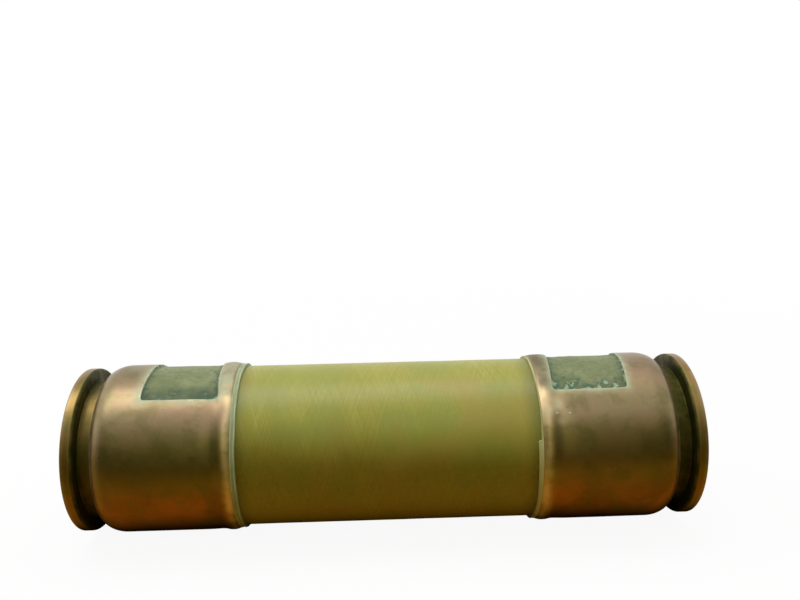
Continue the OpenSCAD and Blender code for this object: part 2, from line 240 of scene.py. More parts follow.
def cells(rows, columns, close_rows=False, close_columns=False):
    """The rows and columns of the four corners of each cell of a grid, counted on past a closed edge."""
    i, j = np.meshgrid(
        np.arange(rows if close_rows else rows - 1),
        np.arange(columns if close_columns else columns - 1),
        indexing="ij",
    )
    i, j = i.ravel(), j.ravel()
    return np.stack([i, i + 1, i + 1, i], axis=1), np.stack([j, j, j + 1, j + 1], axis=1)


def grid_faces(rows, columns, close_columns=False):
    """The faces of a grid of points that are counted row by row."""
    row, column = cells(rows, columns, False, close_columns)
    return row * columns + column % columns


def mesh_object(name, points, faces, uv=None, values=None, smooth_angle=40):
    """A closed mesh of points in mm and four-cornered faces, turned to point outwards by the sign of its
    volume. It takes a UV pair per corner and named values per point."""
    used, faces_now = np.unique(faces, return_inverse=True)
    points, faces = points.reshape(-1, 3)[used], faces_now.reshape(faces.shape)
    corner = points[faces]
    volume = sum(
        np.einsum("ij,ij->i", corner[:, 0], np.cross(corner[:, k], corner[:, k + 1])).sum() for k in (1, 2)
    )
    if volume < 0:
        faces = faces[:, ::-1]
        uv = None if uv is None else uv[:, ::-1]
    mesh = bpy.data.meshes.new(name)
    mesh.vertices.add(len(points))
    mesh.vertices.foreach_set("co", (points * MM).astype(np.float32).ravel())
    mesh.loops.add(faces.size)
    mesh.loops.foreach_set("vertex_index", faces.astype(np.int32).ravel())
    mesh.polygons.add(len(faces))
    mesh.polygons.foreach_set("loop_start", np.arange(0, faces.size, 4, dtype=np.int32))
    mesh.update(calc_edges=True)
    if uv is not None:
        mesh.uv_layers.new(name="around").data.foreach_set("uv", uv.astype(np.float32).ravel())
    for key, value in (values or {}).items():
        layer = mesh.attributes.new(key, "FLOAT", "POINT")
        layer.data.foreach_set("value", np.asarray(value, np.float32).ravel()[used])
    mesh.polygons.foreach_set("use_smooth", np.ones(len(faces), bool))
    mesh.set_sharp_from_angle(angle=radians(smooth_angle))
    return in_scene(name, mesh)


def turned(name, profile, side, steps, shape, values=None, smooth_angle=40):
    """A closed profile [r, x] carried round the axis. shape(r, x, turn) gives the changed r and x."""
    turn = np.linspace(0, 2 * pi, steps, endpoint=False)[None, :]
    r = np.repeat(profile[:, :1], steps, axis=1)
    x = np.repeat(profile[:, 1:], steps, axis=1)
    new_r, new_x = shape(r, x, turn)
    points = on_axis(new_r, new_x, turn, side)
    row, column = cells(len(profile), steps, True, True)
    faces = row % len(profile) * steps + column % steps
    uv = np.stack([side * np.append(profile[:, 1], profile[0, 1])[row] * MM, column / steps], axis=-1)
    made = {key: rule(r, x, turn) * np.ones_like(r) for key, rule in (values or {}).items()}
    return mesh_object(name, points, faces, uv, made, smooth_angle)


def walled(name, top, under, faces, values, smooth_angle=40):
    """A sheet and the same sheet lower down, with a wall between them along every open edge, which is one
    that no face runs along the other way. Values are held to 0 and 1."""
    count = top[..., 0].size
    start = faces.ravel()
    stop = np.roll(faces, -1, axis=1).ravel()
    open_edge = ~np.isin(start * count + stop, stop * count + start)
    a, b = start[open_edge], stop[open_edge]
    wall = np.stack([b, a, a + count, b + count], axis=1)
    points = np.stack([top, under])
    both = {key: np.tile(np.clip(value, 0, 1).ravel(), 2) for key, value in values.items()}
    faces = np.concatenate([faces, faces[:, ::-1] + count, wall])
    return mesh_object(name, points, faces, None, both, smooth_angle)


# ---- ferrules: a flared mouth, a slight waist, a cut window and a rolled shoulder ----

MOUTH_TURN_IN = (3.6, 0.9)
WINDOW_EDGE_ROUND = 0.35
WAIST, WAIST_AT, WAIST_WIDTH = 0.16, 8.6, 3.4
DENT = 0.05
DAUB = 0.26
WAVER = 0.16
CORNER_POWER = 30
FINE = np.array([0, 0.1, 0.22, 0.36, 0.6])
# place of a painted highlight on the right ferrule: a pale glint where its dented sheet catches the lamp
GLINT_X, GLINT_TURN = 73.5, 228
# what differs between the right side, 1, and the left one, -1
LEAN = {1: (4.0, 3.8), -1: (3.0, -1.2)}
SMEAR = {1: 0.25, -1: 1.0}
# widths and strengths of the pale bands at the mouth and by the lip: wear, and in part painted highlights
MOUTH_WEAR_AND_SHEEN = {1: 2.6, -1: 1.8}
LIP_WEAR_AND_SHEEN = {1: 0.0, -1: 0.25}
MOUTH_GRIME = {1: 0.55, -1: 0.0}


def ferrule_radius(x):
    """Outer radius before the shoulder: the cylinder, plus the mouth's flare, less its turned-in edge and
    the waist behind it."""
    flare = FLARE * (1 - ramp(x, MOUTH_X + 4.4, MOUTH_X + 7.4))
    waist = WAIST * bell(x, MOUTH_X + WAIST_AT, WAIST_WIDTH)
    return FERRULE_R + flare - waist - turned_in_by(x - MOUTH_X, *MOUTH_TURN_IN)


def window_distance(x, turn):
    """How far a place on the ferrule lies outside its window in mm: round it, and altogether."""
    along = np.maximum(np.maximum(WINDOW_X[0] - x, x - WINDOW_X[1]), 0)
    across = np.maximum(np.abs(turn - pi) - radians(WINDOW_HALF_ARC), 0) * FERRULE_R
    return across, np.hypot(along, across)


def window_warp(x, turn, side):
    """The hand-cut window: its corners are drawn in to a rounded square's, its sides lean and its outline
    wavers. Each shift fades with distance from the window, so the sheet around it only stretches."""
    x0, x1 = WINDOW_X
    half_x, half_s = (x1 - x0) / 2, radians(WINDOW_HALF_ARC) * FERRULE_R
    u, v = (x - (x0 + x1) / 2) / half_x, (turn - pi) * FERRULE_R / half_s
    big = np.maximum(np.maximum(np.abs(u), np.abs(v)), 1e-6)
    powers = (np.abs(u) / big) ** CORNER_POWER + (np.abs(v) / big) ** CORNER_POWER
    norm = big * powers ** (1 / CORNER_POWER)
    across, apart = window_distance(x, turn)
    near = np.exp(-((apart / 2.4) ** 2))
    pull = (big / norm - 1) * near
    new_x = x + u * half_x * pull + WAVER * near * lumps(x, turn, 0.5, 11 + side)
    new_s = v * half_s * (1 + pull) + WAVER * near * lumps(x, turn, 0.5, 21 + side)
    share = np.clip((x - x0) / (x1 - x0), 0, 1)
    rise = np.clip((1 - v) / 2, 0, 1) * np.clip(1 - across / 14, 0, 1)
    from_mouth = np.clip((x - MOUTH_X - 0.8) / (x0 - MOUTH_X - 0.8), 0, 1)
    reach = from_mouth * np.clip((SHOULDER_X - x) / (SHOULDER_X - x1), 0, 1)
    inner, outer = LEAN[side]
    return new_x + rise * reach * (inner * (1 - share) + outer * share), pi + new_s / FERRULE_R


def ferrule_grid():
    """The rows [r, x] of a ferrule's outer and inner sheets, the turns of its columns, and the window's
    first and last row and column."""
    x0, x1 = WINDOW_X
    x = np.concatenate([
        MOUTH_X + np.array([0, 0.04, 0.12, 0.25, 0.4, 0.6, 0.9, 1.3, 1.8, 2.4, 3.1, 3.9, 4.7, 5.3]),
        x0 - FINE[::-1],
        np.linspace(x0 + 0.9, x1 - 0.9, 26),
        x1 + FINE,
        np.linspace(x1 + 1.5, SHOULDER_X, 9),
    ])
    shoulder = shoulder_rows(FERRULE_R, LIP_X, np.radians(np.linspace(0, 90, 19))[1:])
    lip = np.array([
        [32.6, LIP_X], [32.1, LIP_X], [31.6, LIP_X], [31.25, LIP_X - 0.15],
        [31.1, LIP_X - 0.5], [31.1, LIP_X - 1], [31.4, LIP_X - WALL],
    ])
    outer = np.concatenate([np.stack([ferrule_radius(x), x], 1), shoulder, lip])
    a = np.radians(np.linspace(0, 90, len(shoulder) + len(lip) + 1))[1:]
    inner = np.concatenate([np.stack([SLEEVE_R + 0 * x, x], 1), shoulder_rows(SLEEVE_R, LIP_X - WALL, a)])
    low, high = 180 - WINDOW_HALF_ARC, 180 + WINDOW_HALF_ARC
    fine = np.degrees(FINE / FERRULE_R)
    turn = np.concatenate([
        np.linspace(0, low - fine[-1] - 0.8, 98),
        low - fine[::-1],
        np.linspace(low + 1.4, high - 1.4, 44),
        high + fine,
        np.linspace(high + fine[-1] + 0.8, 360, 98)[:-1],
    ])
    edges = ((x, x0), (x, x1), (turn, low), (turn, high))
    window = [int(np.argmin(np.abs(line - at))) for line, at in edges]
    return outer, inner, np.radians(turn)[None, :], window


def dents(x, turn, side):
    """The sheet's slight unevenness in mm: slow lumps, and weaker and closer ones on them."""
    field = lumps(x, turn, 0.16, 31 + side) + 0.4 * lumps(x, turn, 0.5, 41 + side)
    return DENT * field * ramp(x, MOUTH_X, MOUTH_X + 3)


def above_mouth(x, turns, side):
    """Between the window and the mouth: the band along x, the upper side, and the solder smeared where
    both meet."""
    inward = ramp(-x, -WINDOW_X[0] - 0.5, -MOUTH_X - 3) * ramp(x, MOUTH_X, MOUTH_X + 1.5)
    high = ramp(-np.abs(turns - pi), -radians(WINDOW_HALF_ARC + 3), -radians(WINDOW_HALF_ARC - 6))
    return inward, high, inward * high * SMEAR[side]


def ferrule_marks(x, turns, side):
    """The ferrule's markings. edge is the wear at the mouth and the lip, partly painted highlight there,
    and a painted glint on the right one, with some crust on it. halo is the tinning round the window and
    towards the mouth, crust the salt along the window, and the last value the soiling above the mouth. Bells
    and ramps give their places, and lumps break them up."""
    _, apart = window_distance(x, turns)
    inward, high, smeared = above_mouth(x, turns, side)
    # Wear and painted highlight: pale bands along the mouth and the lip's rounded edge.
    edge = bell(x, MOUTH_X + 1.3, MOUTH_WEAR_AND_SHEEN[side]) * (1 - 0.85 * high)
    edge = edge + ramp(x, LIP_X - 2.2, LIP_X - 0.5) + LIP_WEAR_AND_SHEEN[side] * bell(x, LIP_X - 3.4, 2)
    # Painted highlight: a pale glint on the right ferrule, in the wear colour, with some crust on it.
    painted_glint = (side > 0) * bell(x, GLINT_X, 4.2) * bell(np.degrees(turns), GLINT_TURN, 9)
    edge = edge + painted_glint * (0.6 + 0.4 * lumps(x, turns, 1.4, 115))
    uneven = np.clip(0.5 + 0.5 * lumps(x, turns, 0.5, 51 + side), 0, 1)
    next_to = bell(np.minimum(x, WINDOW_X[0]), WINDOW_X[0], 3.4) * high * (x < WINDOW_X[0] + 1)
    halo = np.exp(-((apart / (1.9 + 1.6 * uneven)) ** 2))
    halo = halo + np.maximum(1.1 * smeared, next_to) * (0.7 + 0.4 * uneven)
    crust = np.exp(-((apart / (0.55 + 0.6 * uneven)) ** 2))
    blotch = np.clip(0.25 + lumps(x, turns, 1.3, 118, 20), 0, 1)
    crust = np.maximum(crust, np.maximum(0.4 * (side < 0) * smeared, 0.7 * painted_glint) * blotch)
    return {"edge": edge, "halo": halo, "crust": crust, "grime_and_shade": MOUTH_GRIME[side] * high * inward}


def make_ferrule(side, name):
    """The ferrule's outer sheet and its inner one a wall below, with the window's cells left out of both.
    It returns the window's two near corners too, in metres."""
    outer, inner, turn, (i0, i1, j0, j1) = ferrule_grid()
    rows, columns = len(outer), turn.size
    r, x = outer[:, :1] + 0 * turn, outer[:, 1:] + 0 * turn
    turns = turn + 0 * x
    _, apart = window_distance(x, turns)
    fade = 1 - ramp(x, SHOULDER_X, LIP_X)
    daub = DAUB * above_mouth(x, turns, side)[2] * np.clip(lumps(x, turns, 1.5, 105 + side, 20), -0.3, 1)
    top_r = r - rounded_by(apart, WINDOW_EDGE_ROUND) + dents(x, turns, side) * fade + daub
    new_x, new_turn = window_warp(x, turns, side)
    top = on_axis(top_r, new_x, new_turn, side)
    inner_x, inner_turn = window_warp(inner[:, 1:] + 0 * turn, turns, side)
    under = on_axis(inner[:, :1], inner_x, inner_turn, side)
    row, column = cells(rows, columns, False, True)
    in_window = (row[:, 0] >= i0) & (row[:, 0] < i1) & (column[:, 0] >= j0) & (column[:, 0] < j1)
    faces = (row * columns + column % columns)[~in_window]
    made = walled(name, top, under, faces, ferrule_marks(x, turns, side))
    corners = {"outer": (new_x[i1, j1], new_turn[i1, j1]), "inner": (new_x[i0, j1], new_turn[i0, j1])}
    return made, {key: on_axis(FERRULE_R, *at, side) * MM for key, at in corners.items()}


SOLDER_R, SOLDER_UNDER_R = 36.95, 36.5
SOLDER_RIM = np.array([0, 0.12, 0.28, 0.48, 0.72, 1.0, 1.35])
# how much darker each solder pool turns towards its front edge
SOLDER_FRONT_DARKENING = {1: 0.3, -1: 0.85}
SOLDER_MOTTLE = {1: 0.8, -1: 0.3}


def make_solder(side, name):
    """The solder that fills a window: a lumpy floor that climbs the window's walls in a fillet of uneven
    height."""
    x0, x1 = WINDOW_X
    rim, inset = SOLDER_RIM, SOLDER_RIM[-1] + 0.35
    x = np.concatenate([x0 + rim, np.linspace(x0 + inset, x1 - inset, 70), x1 - rim[::-1]])[:, None]
    half = radians(WINDOW_HALF_ARC)
    start = inset / FERRULE_R - half
    turn = pi + np.concatenate([
        -half + rim / FERRULE_R, np.linspace(start, -start, 94), half - rim[::-1] / FERRULE_R,
    ])[None, :]
    x, turn = x + 0 * turn, turn + 0 * x
    inside = np.minimum(np.minimum(x - x0, x1 - x), (half - np.abs(turn - pi)) * FERRULE_R)
    ragged = 0.5 + 0.5 * lumps(x, turn, 0.55, 61 + side)
    climb = (0.55 + 0.45 * ragged) * np.exp(-inside / (0.32 + 0.4 * ragged))
    floor = 0.1 * lumps(x, turn, 0.45, 71 + side) + 0.05 * lumps(x, turn, 1.6, 81 + side, 20)
    crust = 0.16 * np.clip(lumps(x, turn, 2.6, 91 + side, 24), 0, 1) * np.exp(-((inside / 6) ** 2))
    top_r = SOLDER_R + floor + crust + climb
    new_x, new_turn = window_warp(x, turn, side)
    top = on_axis(top_r, new_x, new_turn, side)
    under = on_axis(SOLDER_UNDER_R, new_x, new_turn, side)
    # Painted shade along the pool's walls, and a darkening towards its front edge.
    behind = ramp(-inside, -3.2, -0.4)
    front = ramp(np.degrees(turn), 196, 209) * SOLDER_FRONT_DARKENING[side]
    patchy = np.clip(0.5 + lumps(x, turn, 1.5, 95 + side, 20), 0, 1)
    mottle = ramp(np.degrees(turn), 201, 208) * SOLDER_MOTTLE[side] * patchy
    values = {"crust": climb + 2 * crust + mottle, "grime_and_shade": front + 0.45 * behind}
    return walled(name, top, under, grid_faces(*x.shape), values)


DROP_GRID = 13


def make_drop(name, spot, width, length, height):
    """A small drop on a surface: a square grid laid on a disc and raised as a half ellipsoid, with a foot
    sunk under it."""
    grid = np.linspace(-1, 1, DROP_GRID)
    u, v = np.meshgrid(grid, grid, indexing="ij")
    a, b = u * np.sqrt(1 - v * v / 2), v * np.sqrt(1 - u * u / 2)
    out = np.array([0, spot[1], spot[2]]) / np.hypot(spot[1], spot[2])
    ahead = np.array([1, 0, 0])
    flat = spot + a[..., None] * width * ahead + b[..., None] * length * np.cross(out, ahead)
    dome = np.sqrt(np.clip(1 - a * a - b * b, 0, 1))
    rise = height * dome * (1 + 0.2 * np.sin(5 * a) * np.cos(4 * b)) - 0.06
    # Both values paint a drop pale; on the copper pips this pale colour is a painted highlight, a glint.
    values = {"crust": np.full(u.size, 0.6), "edge": np.ones(u.size)}
    return walled(name, flat + rise[..., None] * out, flat - 0.3 * out, grid_faces(*u.shape), values, 60)


# ---- end caps: rim, neck, shell under the shoulder, and a hollow inside ----

TURN_STEPS = 288
GROOVE_ROUND = 0.5
RIM_ROUND = 0.55
RIM_INNER_ROUND = 1.4
SMALL_ROUND = 0.3
PLUG_HEAD_R, PLUG_R, PLUG_BOSS_R, PLUG_BOSS_X = 9.0, 6.0, 10.5, 127.7
HOUSING_R = 7.0
# how much painted shade the neck in each cap's groove gets
NECK_SHADE = {1: 0.95, -1: 0.35}
FILL_HOLE = [
    [PLUG_HEAD_R + SMALL_ROUND, END_X], [PLUG_HEAD_R, END_X - SMALL_ROUND], [PLUG_HEAD_R, CAVITY_X],
    [PLUG_R, CAVITY_X], [PLUG_R, PLUG_BOSS_X], [PLUG_BOSS_R, PLUG_BOSS_X], [PLUG_BOSS_R, CAVITY_X],
]
HOUSING_HOLE = [[HOUSING_R + SMALL_ROUND, END_X], [HOUSING_R, END_X - SMALL_ROUND], [HOUSING_R, CAVITY_X]]


def cap_profile(hole):
    """The end cap's profile: from the spigot out over shell, neck and rim, in along the end face, and back
    through the hollow."""
    shell = shoulder_rows(FLANGE_R, SHELL_X, np.radians(np.linspace(0, 90, 12)))
    return np.concatenate([
        [[CAVITY_R, SPIGOT_X], [SPIGOT_R - 0.4, SPIGOT_X], [SPIGOT_R, SPIGOT_X + 0.4]],
        [[SPIGOT_R, FLANGE_X], [FLANGE_R, FLANGE_X]],
        shell,
        [[NECK_R, SHELL_X]],
        round_corner(NECK_R + GROOVE_ROUND, GROOVE_X - GROOVE_ROUND, GROOVE_ROUND, 180, 90),
        round_corner(RIM_R - RIM_INNER_ROUND, GROOVE_X + RIM_INNER_ROUND, RIM_INNER_ROUND, -90, 0, 10),
        round_corner(RIM_R - RIM_ROUND, END_X - RIM_ROUND, RIM_ROUND, 0, 90, 8),
        hole,
        [[CAVITY_R, CAVITY_X]],
    ])


def cap_shape(r, x, turn, side):
    """The slot in the spigot for the strap's inner leg, and the rim's slight waver."""
    slot = (np.abs(turn - pi) < radians(STRAP_HALF_ARC)) & (x < FLANGE_X - 0.1) & (r > SPIGOT_R - 0.5)
    rim = ramp(r, NECK_R, RIM_R) * ramp(x, GROOVE_X - 1, GROOVE_X)
    return r - STRAP_SLOT_DEPTH * slot + 0.03 * (lumps(x, turn, 0.12, 121 + side) - 1.2) * rim, x


def cap_edge(r, x, turn):
    """The wear on a cap: some on the rim's outer band, most round the corner to the end face."""
    return ramp(r, RIM_R - 0.9, RIM_R) * (0.1 + 0.7 * bell(x, END_X - 0.4, 0.6))


def cap_groove(r, x, turn, side):
    """The painted shade in a cap's groove: full on the rim's inner face and in the corner by the shell, less
    on the neck, and more again on the neck's near side low down."""
    rim_face = ramp(x, GROOVE_X - 0.9, GROOVE_X - 0.1) * ramp(-x, -GROOVE_X - 1.5, -GROOVE_X - 0.7)
    on_neck = (r < NECK_R + 0.3) * (x > SHELL_X - 0.1)
    neck = (NECK_SHADE[side] + 0.6 * ramp(np.degrees(turn), 255, 285)) * on_neck
    return np.clip(rim_face + neck + bell(x, SHELL_X, 0.8) * (r < NECK_R + 1), 0, 1)


def make_cap(side, name, hole):
    """An end cap, turned from its profile."""
    profile = refined(cap_profile(np.array(hole)), 1.6)
    return turned(
        name, profile, side, TURN_STEPS, lambda r, x, turn: cap_shape(r, x, turn, side),
        {"edge": cap_edge, "grime_and_shade": lambda r, x, turn: cap_groove(r, x, turn, side)}, 35,
    )


# ---- tube, tapes, spring ----

TAPE_STEPS = 320
TAPE_BEAD = 1.3
TAPE_SHOW = {1: 0.5, -1: 2.3}
TAPE_STEP = {1: 1.45, -1: 0.0}
TAPE_LAP = radians(248)


def tube_shape(r, x, turn):
    """The grooves for the two straps, and the winding's slight waviness."""
    groove = (np.abs(turn - pi) < radians(STRAP_HALF_ARC)) & (np.abs(x) > STRAP_X) & (r > BORE_R + 1)
    return r - STRAP_GROOVE_DEPTH * groove + 0.02 * lumps(x, turn, 0.4, 131) * (r > BORE_R + 1), x


def make_tube(name):
    """The wound tube, turned from a long narrow profile."""
    profile = np.array([[BORE_R, -TUBE_X], [TUBE_R, -TUBE_X], [TUBE_R, TUBE_X], [BORE_R, TUBE_X]])
    return turned(name, refined(profile, 2.0), 1, TURN_STEPS, tube_shape)


def tape_profile(show):
    """A tape's profile: the part under the ferrule, and the bead outside it with a ridge at each edge.
    Heights are shares of the bead's."""
    out = MOUTH_X - 0.05
    edge = min(0.4, show / 3)
    bead = np.array([
        [0, -show], [0.75, 0.02 - show], [0.97, 0.5 * edge - show], [1, edge - show],
        [0.85, 1.8 * edge - show], [0.82, -1.6 * edge], [1, -0.7 * edge], [0.9, 0],
    ])
    under = [[TAPE_UNDER_R, out], [TAPE_UNDER_R, TAPE_UNDER_X]]
    return np.concatenate([[[TUBE_R, TAPE_UNDER_X]], bead * (TAPE_BEAD, 1) + (TUBE_R, out), under])


def make_tape(side, name):
    """A turn of tape. Its free edge wavers, and at the lap it steps back and creeps out again round the
    tube."""
    show = TAPE_SHOW[side]

    def shape(r, x, turn):
        """The edge's place less the step and the waver, and the bead's uneven height."""
        free = ramp(-x, -(MOUTH_X - 0.2), -(MOUTH_X - show + 0.3)) * (r > TUBE_R - 0.01)
        back = TAPE_STEP[side] * (1 - np.mod(turn - TAPE_LAP, 2 * pi) / (2 * pi))
        uneven = 0.05 * lumps(x, turn, 0.6, 141 + side) * (r > TUBE_R + 0.2) * (x < MOUTH_X)
        return r + uneven, x - free * (back + 0.12 * lumps(0 * x, turn, 0.4, 151 + side))

    def line(r, x, turn):
        """The paler line along each edge."""
        return bell(x, MOUTH_X - show + 0.3, 0.35) + bell(x, MOUTH_X - 0.3, 0.3)

    return turned(name, refined(tape_profile(show), 0.5), side, TAPE_STEPS, shape, {"edge": line})


def make_spring(name, x_from, x_to, turns=7, r=3.5, wire=0.45, steps=420, sides=10):
    """A coil of round wire: the wire's circle carried along a helix about the axis, with its ends closed
    in two steps."""
    t = np.linspace(0, 1, steps)[:, None]
    thick = wire * np.clip(np.minimum(t, 1 - t) * steps / 2, 0.02, 1)
    a = np.linspace(0, 2 * pi, sides, endpoint=False)[None, :]
    turn = 2 * pi * turns * t
    points = on_axis(r + thick * np.cos(a), x_from + (x_to - x_from) * t + thick * np.sin(a), turn)
    return mesh_object(name, points, grid_faces(steps, sides, True))


# ---- shader nodes ----


def plug(made, inputs):
    """Joins each input of a node to a socket, or sets it to a number or colour."""
    for key, value in inputs.items():
        socket = made.inputs[key]
        if isinstance(value, bpy.types.NodeSocket):
            made.id_data.links.new(value, socket)
        elif socket.type == "RGBA" and len(value) == 3:
            socket.default_value = (*value, 1)
        else:
            socket.default_value = value


def node(tree, kind, inputs=None, **settings):
    """A shader node with its settings and inputs."""
    made = tree.nodes.new("ShaderNode" + kind)
    for key, value in settings.items():
        setattr(made, key, value)
    plug(made, inputs or {})
    return made


def joined(kind, inputs, output=0, **settings):
    """An output of a new node, in the tree that the first socket among its inputs belongs to."""
    tree = next(value.id_data for value in inputs.values() if isinstance(value, bpy.types.NodeSocket))
    return node(tree, kind, inputs, **settings).outputs[output]


def calc(how, a, b=0, c=0):
    """One step of arithmetic."""
    return joined("Math", {0: a, 1: b, 2: c}, operation=how)


def times(a, b):
    """The product of two values."""
    return calc("MULTIPLY", a, b)


def mix(share, a, b, how="MIX"):
    """A colour between two others."""
    return joined("Mix", {0: share, 6: a, 7: b}, 2, data_type="RGBA", blend_type=how)


def layered(colour, *layers):
    """A colour with others laid over it, each by its mask."""
    for mask, tint in layers:
        colour = mix(mask, colour, tint)
    return colour


def painted_shade(mask, colour, tint):
    """A colour multiplied by a tint, as far as the mask goes: painted shade."""
    return mix(mask, colour, mix(1, colour, tint, "MULTIPLY"))


def spread(value, low, high, to_low=0, to_high=1):
    """A value carried from one range to another, smooth at both ends and held beyond them."""
    parts = {0: value, 1: low, 2: high, 3: to_low, 4: to_high}
    return joined("MapRange", parts, interpolation_type="SMOOTHSTEP")


def split(vector):
    """The three coordinates of a place."""
    return node(vector.id_data, "SeparateXYZ", {0: vector}).outputs


def noise(vector, scale, detail=3, rough=0.55, bend=0):
    """A noise value of about 0.3 to 0.7 at so many cells per metre."""
    parts = {"Vector": vector, "Scale": scale, "Detail": detail, "Roughness": rough, "Distortion": bend}
    return joined("TexNoise", parts)


def broken(mask, where, scale, low, high, least=0, detail=4, rough=0.55):
    """A mask broken up by noise, which leaves at least a share of it."""
    return times(mask, spread(noise(where, scale, detail, rough), low, high, least))


def under_side(where, scale, detail, start, full):
    """0 above one height and 1 below another, along a line that noise makes waver."""
    waver = times(calc("SUBTRACT", noise(where, scale, detail), 0.5), 0.03)
    return spread(calc("ADD", split(where)[2], waver), start, full)


def stretched(vector, by, turn=(0, 0, 0)):
    """A place with each of its coordinates multiplied, and turned first."""
    turned_first = joined("VectorRotate", {"Vector": vector, "Rotation": turn}, rotation_type="EULER_XYZ")
    return joined("VectorMath", {0: turned_first, 1: by}, operation="MULTIPLY")


def marking(tree, name):
    """The value per point that a piece's own function has written."""
    return node(tree, "Attribute", attribute_name=name).outputs["Fac"]


def around(tree):
    """Both coordinates of a turned piece's own map: metres along X, and the share of a turn."""
    return split(node(tree, "UVMap", uv_map="around").outputs[0])


def group(name, inputs, build):
    """A node group. An input is a number, a colour or, without a value, a vector. build takes the inputs
    in order and gives the outputs by name: numbers, but for Color."""
    tree = bpy.data.node_groups.new(name, "ShaderNodeTree")
    for label, value in inputs.items():
        kind = "Vector" if value is None else "Color" if isinstance(value, tuple) else "Float"
        socket = tree.interface.new_socket(name=label, in_out="INPUT", socket_type="NodeSocket" + kind)
        if value is not None:
            socket.default_value = (*value, 1) if kind == "Color" else value
    outputs = build(*tree.nodes.new("NodeGroupInput").outputs[:len(inputs)])
    for label in outputs:
        kind = "Color" if label == "Color" else "Float"
        tree.interface.new_socket(name=label, in_out="OUTPUT", socket_type="NodeSocket" + kind)
    plug(tree.nodes.new("NodeGroupOutput"), outputs)
    return tree


# ---- shared effects ----


def patches(vector, scale, level, softness):
    """Soft-edged patches: noise over the level shows, under it doesn't."""
    low, high = calc("SUBTRACT", level, softness), calc("ADD", level, softness)
    return {"Mask": spread(noise(vector, scale, 5, 0.6, 0.3), low, high)}


def turning(vector, pitch):
    """The fine rings that a lathe or a spinning roller leaves: noise that hardly changes round the X axis."""
    x, y, z = split(vector)
    away = calc("SQRT", calc("ADD", times(y, y), times(z, z)))
    slow = noise(vector, 20, 1)
    ring = joined("CombineXYZ", {0: times(x, pitch), 1: times(away, pitch), 2: times(slow, 3)})
    return {"Height": noise(ring, 1, 3, 0.6)}


def scratches(vector, scale, level):
    """Thin scratches in three directions: noise drawn out along each, and only its highest lines."""
    total = None
    for turn in ((0.3, 0.5, 0.1), (1.3, -0.4, 0.9), (-0.7, 0.2, -0.6)):
        value = noise(stretched(vector, (1, 0.03, 1), turn), scale, 1)
        line = spread(value, level, calc("ADD", level, 0.06))
        total = line if total is None else calc("MAXIMUM", total, line)
    return {"Mask": total}


def old_copper(
    where, bright, under, pink, olive, spot, worn_and_sheen, tinned, dirt_and_shade, under_orange, dim, salt,
    edge, halo, crust, grime_and_shade, gloss, fall,
):
    """Handled copper or brass: a bright upper side that turns to a darker, browner colour below, which is
    painted reflection and shade, cloudy patches, dark spots, edge wear that is partly painted highlight, a
    pale halo where it was tinned, a crust of salts, and soiling and painted shade in corners. All of these
    dull it."""
    def patch(scale, level, softness, by=(1, 1, 1)):
        """Patches stretched along the axes."""
        parts = {"Vector": stretched(where, by), "Scale": scale, "Level": level, "Softness": softness}
        return joined("Group", parts, node_tree=PATCHES)

    spots = patch(420, 0.7, 0.03)
    spotted = calc("MAXIMUM", times(spots, 0.55), times(patch(120, 0.72, 0.03), 0.7))
    scratch = joined("Group", {"Vector": where, "Scale": 1700, "Level": 0.69}, node_tree=SCRATCHES)
    edge = broken(edge, where, 160, 0.3, 0.6, 0.45)
    halo = broken(halo, where, 300, 0.3, 0.62, 0.35, 4, 0.65)
    crust = broken(crust, where, 520, 0.32, 0.56, 0.4, 4, 0.65)
    # Soiling above the ferrules' mouths, and painted shade in the caps' grooves.
    grime_and_shade = broken(grime_and_shade, where, 140, 0.3, 0.65, 0.65)
    upper = mix(times(patch(28, 0.52, 0.12, (1, 1, 1.6)), 0.65), bright, pink)
    # Painted reflection and shade: the lower colour, with its orange and dark patches, stands for the darker,
    # warmer underside.
    lower = layered(
        under,
        (times(patch(44, 0.53, 0.1, (0.7, 1, 1.3)), 0.7), under_orange),
        (times(patch(36, 0.55, 0.12, (1.3, 0.8, 1)), 0.7), dim),
    )
    # Painted reflection and shade: below a wavering height the colour turns to the lower one, as far as Fall
    # says.
    below = times(under_side(where, 26, 4, 0.014, -0.016), fall)
    colour = layered(
        mix(below, upper, lower),
        (times(patch(95, 0.55, 0.1), 0.55), olive),
        (spotted, spot),
        # The wear colour serves real scratches and edge wear, and also painted highlights and glints.
        (times(scratch, 0.12), worn_and_sheen),
        (edge, worn_and_sheen),
        (times(halo, 0.85), tinned),
        (crust, salt),
        (grime_and_shade, dirt_and_shade),
    )
    dull = calc("MULTIPLY_ADD", noise(where, 60, 4), 0.2, calc("SUBTRACT", gloss, 0.1))
    for mask, more in ((spotted, 0.15), (halo, 0.14), (crust, 0.12), (grime_and_shade, 0.3), (edge, 0.06)):
        dull = calc("MULTIPLY_ADD", mask, more, dull)
    film = calc("MAXIMUM", halo, crust)
    not_metal = calc("MAXIMUM", times(film, 0.75), times(edge, 0.25))
    rings = joined("Group", {"Vector": where, "Pitch": 1300}, node_tree=TURNING)
    height = calc("MULTIPLY_ADD", rings, 0.35, times(noise(where, 240, 4), 0.6))
    for mask, more in ((scratch, -0.12), (spots, -0.15), (film, noise(where, 700))):
        height = calc("MULTIPLY_ADD", mask, more, height)
    return {"Color": colour, "Roughness": dull, "Metal": calc("SUBTRACT", 1, not_metal), "Height": height}


